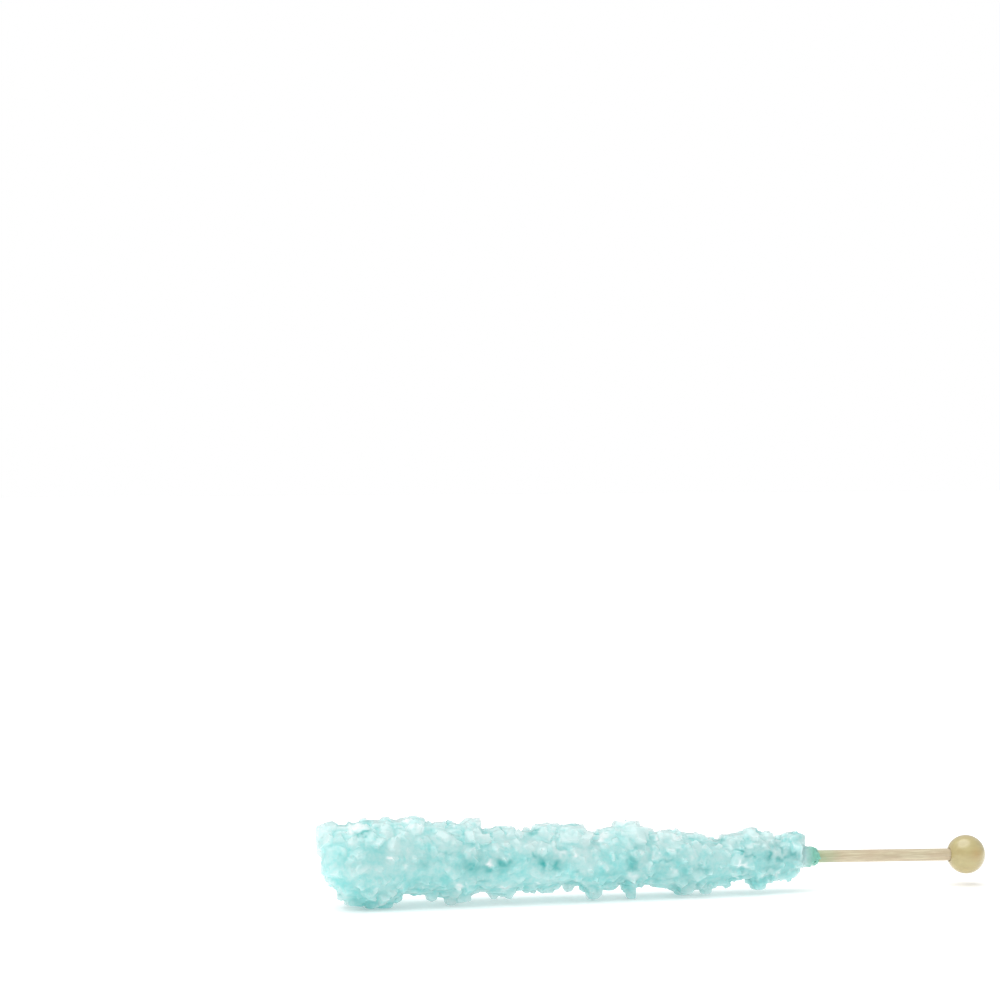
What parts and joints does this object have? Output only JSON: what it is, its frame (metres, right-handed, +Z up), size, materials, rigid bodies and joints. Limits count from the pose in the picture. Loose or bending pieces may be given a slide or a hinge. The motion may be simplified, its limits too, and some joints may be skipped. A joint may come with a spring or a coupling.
{
  "type": "rock candy stick",
  "caption": "Rock candy lollipop: pale blue sugar crystals grown round a slim wooden dowel, with a small wooden ball at the handle end, lying on its side.",
  "frame": {"origin": "on the surface that the stick lies on, under the middle of its bounding box", "axes": "+Z up, +X along the stick from the candy's tip to the wooden ball, -Y the side shown"},
  "size_m": [0.1748, 0.019, 0.0228],
  "materials": {
    "rock_sugar": "milky translucent sugar, glossy crystal faces",
    "dowel_wood": "bare birch, smooth",
    "ball_wood": "bare birch, smooth, satin"
  },
  "bodies": {
    "root": {"rock_candy": "rock_sugar", "dowel": "dowel_wood", "ball": "ball_wood"}
  },
  "joints": []
}
